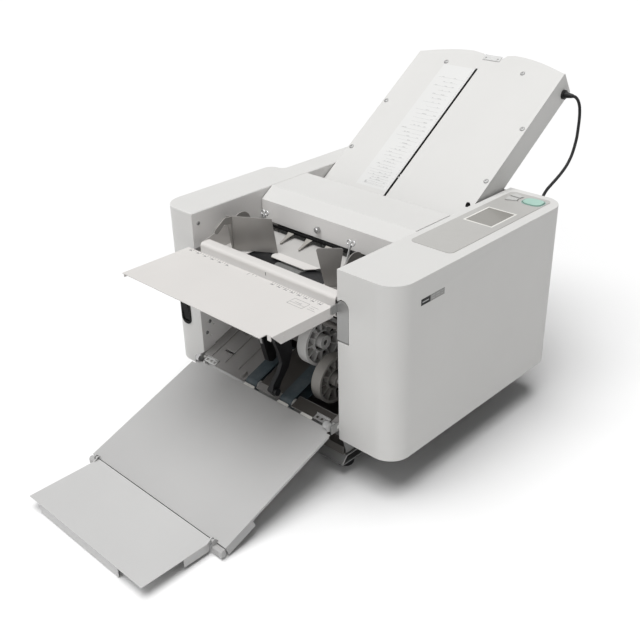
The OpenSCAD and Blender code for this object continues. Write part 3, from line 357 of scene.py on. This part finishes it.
def dress(piece, slot):
    """Gives a whole piece one of the record's materials."""
    piece.data.materials.clear()
    piece.data.materials.append(MATERIALS[slot])


for name, node in nodes.items():
    for place in node.material_slots:
        place.material = MATERIALS[slot_of_node[name]]
dress(cable, "black_rubber")


# ---------- soft edges ----------

WELD = 2e-6
FLAT = math.radians(0.6)
SHARP = math.radians(32)


def add_bevel(piece, name, width, segments):
    bevel = piece.modifiers.new(name, "BEVEL")
    bevel.width = width
    bevel.segments = segments
    bevel.harden_normals = True
    return bevel


def softened(name, width, round_edges=None, round_width=0.0):
    """A copy of a CAD node with small radii on its edges, which stands for the node.

    round_edges, if given, chooses the sharp edges that get the larger round_width first.
    """
    mesh = nodes[name].data.copy()
    work = bmesh.new()
    work.from_mesh(mesh)
    bmesh.ops.remove_doubles(work, verts=work.verts, dist=WELD)
    bmesh.ops.dissolve_limit(work, angle_limit=FLAT, verts=work.verts, edges=work.edges,
                             use_dissolve_boundaries=False)
    for face in work.faces:
        face.smooth = True
    if round_edges:
        weights = work.edges.layers.float.new("bevel_weight_edge")
        for edge in work.edges:
            if edge.calc_face_angle(0) > SHARP and round_edges(*(v.co for v in edge.verts)):
                edge[weights] = 1.0
    work.to_mesh(mesh)
    work.free()
    mesh.set_sharp_from_angle(angle=SHARP)
    copy = bpy.data.objects.new(name + "_skin", mesh)
    scene.collection.objects.link(copy)
    if round_edges:
        add_bevel(copy, "round", round_width, 5).limit_method = "WEIGHT"
    small = add_bevel(copy, "edges", width, 2)
    small.limit_method = "ANGLE"
    small.angle_limit = SHARP
    small.use_clamp_overlap = True
    dress(copy, slot_of_node[name])
    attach(copy, body_of_node[name])
    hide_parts(name)
    return copy


def refinish(piece, finish, chosen):
    """Gives another finish to the faces whose middle (x, y, z in mm) is chosen."""
    piece.data.materials.append(MATERIALS.get(finish) or FINISHES[finish])
    for face in piece.data.polygons:
        if chosen(*(face.center / MM)):
            face.material_index = len(piece.data.materials) - 1


def near(a, b, reach):
    """Whether two points are less than reach apart."""
    return math.dist(a, b) < reach


COVERS_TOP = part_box("left_cover")[1].z


def on_crown(a, b):
    """An edge of a side cover's top face, by its two ends."""
    return min(a.z, b.z) > COVERS_TOP - 0.4 * MM


covers = [softened(name, 0.5 * MM, on_crown, 2.2 * MM) for name in ("left_cover", "right_cover")]
# edge radius in mm, and the nodes that get it
SKINS = (
    (0.35, ("feed_table", "delivery_tray", "tray_extension", "upper_plate_sheet",
            "fold_plate_pan", "chute_plate", "table_hinges", "tray_hinges", "foot_brackets",
            "rear_cover", "press_arms")),
    (0.40, ("left_guide", "right_guide", "throat_plate", "feed_deck", "feed_lip", "guide_rail",
            "roller_guards", "paper_fingers", "top_cover", "power_rocker", "switch_bezel",
            "press_wheel", "rear_belt_shaft", "wheel_arm", "rubber_feet", "power_inlet")),
    (0.25, ("control_panel", "display_glass", "start_button", "stop_button", "clear_button",
            "separator_knob", "casing_screws", "left_clamp_screw", "right_clamp_screw",
            "paper_stop", "second_fold_plate", "front_belt_shaft", "left_frame",
            "right_frame")),
)
skins = {name: softened(name, width * MM) for width, names in SKINS for name in names}

# places in mm; an axis along X is given by its (y, z). The steel clip is at the top of the fold
# plate, the tray's thumb screws stand 5 to 13 mm in from the bay's sides, and a wheel's web is
# WEB_FACE further right than its left face.
BAY_LEFT, BAY_RIGHT = (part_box("throat_plate")[k].x / MM for k in (0, 1))
PLATE_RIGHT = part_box("lower_plate_sheet")[1].x / MM + 2
CLIP_X = (-32, 8)
CLIP_Y = 480
SLOT_FLOOR = -44.5
TRAY_SCREW = (-146, 110)
TRAY_SCREW_X = (4.99, 13.01)
TRAY_SCREW_REACH = 6.6
WHEEL_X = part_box("press_wheel")[0].x / MM
LOWER_WHEEL_X = 57
LOWER_WHEEL_END = 83
WEB_FACE = 6
FINGER_AXIS = (27.5, 319)
FINGER_SHAFT_REACH = 3.2
POINTER_AT = (-29, 238, 384)
POINTER_REACH = 4.5
THROAT_FRONT = -22
TOP_COVER_FRONT = 34
WALL_TOP = 378
TOUCH = 0.05


def above_plate(y, z):
    """Height in mm over the fold plate's surface, by the cosine and sine of its slope."""
    return (z - 378.8) * 0.832 - (y - 229.4) * 0.555


def on_bay_side(x, y, z):
    return abs(x - BAY_LEFT) < 0.3 and z < WALL_TOP


def on_clip(x, y, z):
    return CLIP_X[0] < x < CLIP_X[1] and y > CLIP_Y and above_plate(y, z) > 0.3


def on_tray_screw(x, y, z):
    inwards = min(x - BAY_LEFT, BAY_RIGHT - x)
    return (near((y, z), TRAY_SCREW, TRAY_SCREW_REACH)
            and TRAY_SCREW_X[0] < inwards < TRAY_SCREW_X[1])


def on_web(wheel_x):
    """The sunken face between a wheel's hub and its rim."""
    return lambda x, y, z: abs(x - wheel_x - WEB_FACE) < TOUCH


def on_lower_wheel(x, y, z):
    return (LOWER_WHEEL_X - 2 * TOUCH < x < LOWER_WHEEL_END
            and not on_web(LOWER_WHEEL_X)(x, y, z))


def on_finger_shaft(x, y, z):
    return near((y, z), FINGER_AXIS, FINGER_SHAFT_REACH)


# the pan's floor seen through the fold plate's slot, which gets painted shade
def on_slot_floor(x, y, z):
    return abs(above_plate(y, z) - SLOT_FLOOR) < 2 * TOUCH


def on_pointer(x, y, z):
    return near((x, y, z), POINTER_AT, POINTER_REACH) and z > POINTER_AT[2]


def everywhere(x, y, z):
    return True


# the bay's inner side wall, in the covers' white painted lighter as painted light where it lies in
# shade
refinish(covers[0], "white_painted_light", on_bay_side)
for name, finish, chosen in (
        ("fold_plate_pan", "black_plastic", lambda x, y, z: x > PLATE_RIGHT + TOUCH),
        ("upper_plate_sheet", "plated_steel", on_clip),
        ("delivery_tray", "bright_steel", on_tray_screw),
        ("press_wheel", "web_brown", on_web(WHEEL_X)),
        ("rear_belt_shaft", "web_brown", on_web(LOWER_WHEEL_X)),
        ("paper_fingers", "finger_tan", lambda x, y, z: not on_finger_shaft(x, y, z)),
        ("paper_fingers", "gloss_black", on_finger_shaft),
        # painted shade: the pan's floor seen through the slot, painted black
        ("fold_plate_pan", "gloss_black", on_slot_floor),
        ("paper_stop", "gloss_black", on_pointer),
        # painted shade: the throat plate's ramp behind its front flange, in a darker white
        ("throat_plate", "painted_throat_shade", lambda x, y, z: y > THROAT_FRONT),
        # painted light: the top cover's recessed front face, in white painted lighter
        ("top_cover", "white_painted_light", lambda x, y, z: y < TOP_COVER_FRONT),
        ("rear_belt_shaft", "wheel_grey", on_lower_wheel),
        # painted light: the left frame, white, painted lighter where it lies in shade under the
        # table
        ("left_frame", "white_painted_light", everywhere),
        ("chute_plate", "chute_grey", everywhere),
        ("power_rocker", "gloss_black", everywhere),
        ("switch_bezel", "gloss_black", everywhere),
        ("casing_screws", "screw_grey", everywhere),
        ("stop_button", "key_grey", everywhere),
        ("clear_button", "key_grey", everywhere)):
    refinish(skins[name], finish, chosen)


# ---------- printed marks and small trim ----------

def finished(name, work, finish, body):
    """Turns a bmesh into a piece on a body, with a finish of its own."""
    mesh = bpy.data.meshes.new(name)
    work.to_mesh(mesh)
    work.free()
    piece = bpy.data.objects.new(name, mesh)
    scene.collection.objects.link(piece)
    mesh.materials.append(FINISHES[finish])
    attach(piece, body)
    return piece


def corner_ring(x0, y0, x1, y1):
    return [(x0, y0), (x1, y0), (x1, y1), (x0, y1)]


def slabs(name, place, rects, finish, slot, lift=0.01, top=0.1, body="machine"):
    """Thin flat marks, given as (x0, y0, x1, y1) in mm on a plane, in one piece."""
    work = bmesh.new()
    for rect in rects:
        low, high = ([work.verts.new(place @ (Vector((x, y, w)) * MM))
                      for x, y in corner_ring(*rect)] for w in (lift, top))
        work.faces.new(low[::-1])
        work.faces.new(high)
        for k in range(4):
            after = (k + 1) % 4
            work.faces.new((low[k], low[after], high[after], high[k]))
    return finished(name, work, finish, body)


def prism(name, place, outlines, finish, low=0.0, high=1.0, body="machine"):
    """Closed outlines in mm, extruded along their plane's normal; a second outline is a hole."""
    work = bmesh.new()
    rings = [[[work.verts.new(place @ (Vector((x, y, w)) * MM)) for x, y in outline]
              for outline in outlines] for w in (low, high)]
    for level, ring_pair in enumerate(rings):
        if len(ring_pair) == 1:
            work.faces.new(ring_pair[0][::-1] if level == 0 else ring_pair[0])
        else:
            outer, inner = ring_pair
            n = len(outer)
            for k in range(n):
                quad = (outer[k], outer[(k + 1) % n], inner[(k + 1) % n], inner[k])
                work.faces.new(quad[::-1] if level == 0 else quad)
    for index in range(len(outlines)):
        bottom, upper = rings[0][index], rings[1][index]
        n = len(bottom)
        for k in range(n):
            quad = (bottom[k], bottom[(k + 1) % n], upper[(k + 1) % n], upper[k])
            work.faces.new(quad if index == 0 else quad[::-1])
    return finished(name, work, finish, body)


def at(x, y, z):
    """A plane parallel to the ground through a point in mm."""
    return Matrix.Translation(Vector((x, y, z)) * MM)


def turned(degrees, axis):
    return Matrix.Rotation(math.radians(degrees), 4, axis)


# planes that carry marks and trim
PLATE = at(0, 229.41, 378.8) @ turned(33.7, "X")
TABLE = at(0, 0, 319.4)
COVER_TOP = at(0, 0, 379)
SIDEWAYS = turned(90, "Z") @ turned(90, "X")
RIGHT_SIDE = at(265, 0, 0) @ SIDEWAYS
LIP_FRONT = at(0, -127.5, 0) @ turned(90, "X")
CHUTE = at(0, -144, 105.6) @ turned(20.15, "X")

# bottom and top, in mm over its plane, of ink that lies on a film or on a label
INK_ON_FILM = (0.09, 0.14)
INK_ON_LABEL = (0.09, 0.16)

# ruler film beside the fold plate's slot, between two x: even ticks, and rows that spread out
FILM = (-105, -31.8)
HAIRLINE = 0.35
slabs("scale_film", PLATE, [(FILM[0], -30, FILM[1], 284)], "scale_film", "cover_white", top=0.08)
ticks = [(FILM[1] - (7 if v % 50 == 0 else 5 if v % 10 == 0 else 3), v, FILM[1] - 1, v + HAIRLINE)
         for v in range(-25, 280, 5)]
slabs("scale_ticks", PLATE, ticks, "ink_pale", "cover_white", *INK_ON_FILM)
ROWS = 34
rows = []
for k in range(ROWS):
    v = -24 + 275 * (k / (ROWS - 1)) ** 1.35
    left = FILM[0] + random.uniform(3, 30)
    rows.append((left, v, FILM[1] - random.uniform(8, 20), v + HAIRLINE))
    for _ in range(random.randint(1, 4)):
        x = random.uniform(left, FILM[1] - 16)
        rows.append((x, v + 1.3, x + random.uniform(2, 7), v + 2.3))
slabs("scale_lines", PLATE, rows, "ink_pale", "cover_white", *INK_ON_FILM)

# paper marks along the feed table's rear edge: groups of (first x, last x, step)
MARK_GROUPS = ((-176, -84, 6.2), (-30, -14, 8), (24, 130, 4.9))
marks = []
for first, last, step in MARK_GROUPS:
    for k in range(round((last - first) / step) + 1):
        x = first + k * step
        long = k % 3 == 0
        marks.append((x, -143.5 if long else -139.5, x + 0.9, -136))
        if long and last - first > 20:
            marks.append((x + 1.8, -142.5, x + 6.4, -140.8))
# a small diagram of a folded sheet: its outline, its fold, lines beside it and an arrow
marks += [(88, -152, 120, -151.5), (88, -170, 120, -169.5), (88, -170, 88.5, -151.5),
          (119.5, -170, 120, -151.5), (88, -163.5, 120, -163.1), (126, -155, 140, -154.5),
          (126, -160, 136, -159.5), (126, -165, 142, -164.5), (97, -160, 109, -159.4),
          (108.4, -162, 109, -157.6)]
slabs("table_marks", TABLE, marks, "ink_grey", "inner_white", body="feed_table")
slabs("lip_mark", LIP_FRONT, [(-3.2, 320.4, -1.6, 326)], "ink_grey", "inner_white")

# display rim and start ring on the right cover
DISPLAY_AT = (206, 185)
BUTTON_AT = (224, 287)


def rectangle(w, h):
    """A rectangle's outline round the display."""
    x, y = DISPLAY_AT
    return corner_ring(x - w / 2, y - h / 2, x + w / 2, y + h / 2)


def oval(w, h, steps=48):
    """The outline of a full, squarish oval round the start button."""
    def swollen(value):
        return math.copysign(abs(value) ** 0.7, value)
    angles = [2 * math.pi * k / steps for k in range(steps)]
    return [(BUTTON_AT[0] + w / 2 * swollen(math.cos(t)),
             BUTTON_AT[1] + h / 2 * swollen(math.sin(t))) for t in angles]


prism("display_rim", COVER_TOP, [rectangle(56, 74), rectangle(50, 68)], "rim_cream",
      0.58, 0.95)
prism("start_ring", COVER_TOP, [oval(39.5, 33.5), oval(36.5, 30.5)], "ring_mint",
      0.78, 1.1)

# plain two-part side label
slabs("side_label", RIGHT_SIDE, [(-49, 334.8, -15.3, 344.7)], "label_grey", "black_plastic")
slabs("label_bars", RIGHT_SIDE, [
    (-68, 338.8, -53, 340.4), (-46, 337.6, -39, 338.4), (-46, 341.4, -39, 342.2),
    (-46, 337.6, -45.2, 342.2), (-35, 337.6, -27, 338.4), (-35, 341.4, -27, 342.2),
    (-23, 337.6, -18, 338.4), (-23, 341.4, -18, 342.2)],
    "tag_grey", "black_plastic", *INK_ON_LABEL)

# half-round stop at the fold plate's lower right corner
half = [(math.cos(math.radians(t)) * 5, math.sin(math.radians(t)) * 7)
        for t in range(0, 181, 15)]
tab = prism("plate_stop_tab", at(144, 207, 377) @ SIDEWAYS, [half], "gloss_black",
            0, 4)
tab_edges = tab.modifiers.new("edges", "BEVEL")
tab_edges.width = 0.6 * MM
tab_edges.segments = 3

# painted shade on the chute, as dark slabs between the belts and in front of the wheel bay, and
# white tabs on its front edge
TAB_XS = (-44, 38.5, 94)
TAB = (24, 5)
TAB_Y = 0.8


def rounded(x, y, w, h, r, steps=5):
    """A rectangle's outline round (x, y) with corner radius r."""
    middles = ((w / 2 - r, h / 2 - r), (r - w / 2, h / 2 - r),
               (r - w / 2, r - h / 2), (w / 2 - r, r - h / 2))
    outline = []
    for quarter, (cx, cy) in enumerate(middles):
        for k in range(steps + 1):
            turn = math.radians(90 * quarter + 90 * k / steps)
            outline.append((x + cx + r * math.cos(turn), y + cy + r * math.sin(turn)))
    return outline


slabs("chute_shade_slabs", CHUTE, [(-29, 17, 24, 150), (56, 4, 140, 27)], "painted_chute_shade", "dark_steel",
      -3.19, -3.05)
for k, x in enumerate(TAB_XS):
    prism("edge_tab_%d" % (k + 1), CHUTE, [rounded(x, TAB_Y, *TAB, 1)], "rim_cream",
          -4.6, -2.2)

# light clip on the front of the left press arm
prism("arm_clip", SIDEWAYS, [[(-115.2, 205), (-107.5, 171.5), (-106.6, 171.8), (-114.1, 205.2)]],
      "tag_grey", -47.5, -42.5, body="press_arms")


# ---------- stage ----------

FLOOR_REACH = 14
FLOOR_TONES = (0.855, 0.865)


def add_stage():
    mesh = bpy.data.meshes.new("floor")
    corners = corner_ring(-FLOOR_REACH, -FLOOR_REACH, FLOOR_REACH, FLOOR_REACH)
    mesh.from_pydata([(x, y, 0) for x, y in corners], [], [(0, 1, 2, 3)])
    floor = bpy.data.objects.new("floor", mesh)
    scene.collection.objects.link(floor)
    g = Graph("floor")
    low, high = ((tone,) * 3 for tone in FLOOR_TONES)
    g.feed(base_color=g.ramp(g.noise(3), (0, low), (1, high)))
    g.set(roughness=0.8, specular_ior_level=0.1)
    mesh.materials.append(g.material)


def add_sun(name, azimuth, elevation, spread, strength):
    """A soft light from a compass direction, with its angles in degrees."""
    data = bpy.data.lights.new(name, "SUN")
    data.angle = math.radians(spread)
    data.energy = strength
    light = bpy.data.objects.new(name, data)
    toward = direction(math.radians(azimuth), math.radians(elevation))
    light.rotation_euler = toward.to_track_quat("Z", "Y").to_euler()
    scene.collection.objects.link(light)


def add_world(ambient, backdrop):
    """A plain white room: dim on matt surfaces, bright behind the object and in reflections."""
    world = bpy.data.worlds.new("studio")
    world.use_nodes = True
    tree = world.node_tree
    background = tree.nodes["Background"]
    background.inputs["Color"].default_value = (1, 1, 1, 1)
    path = tree.nodes.new("ShaderNodeLightPath")
    strength = tree.nodes.new("ShaderNodeMapRange")
    strength.inputs["To Min"].default_value = backdrop
    strength.inputs["To Max"].default_value = ambient
    tree.links.new(path.outputs["Is Diffuse Ray"], strength.inputs["Value"])
    tree.links.new(strength.outputs["Result"], background.inputs["Strength"])
    scene.world = world


add_stage()
add_world(0.08, 1.0)
add_sun("top", -14, 78, 50, 3.2)
add_sun("fill", 38, 20, 60, 0.42)
add_sun("front", -12, 28, 60, 0.38)
scene.view_settings.view_transform = "Standard"
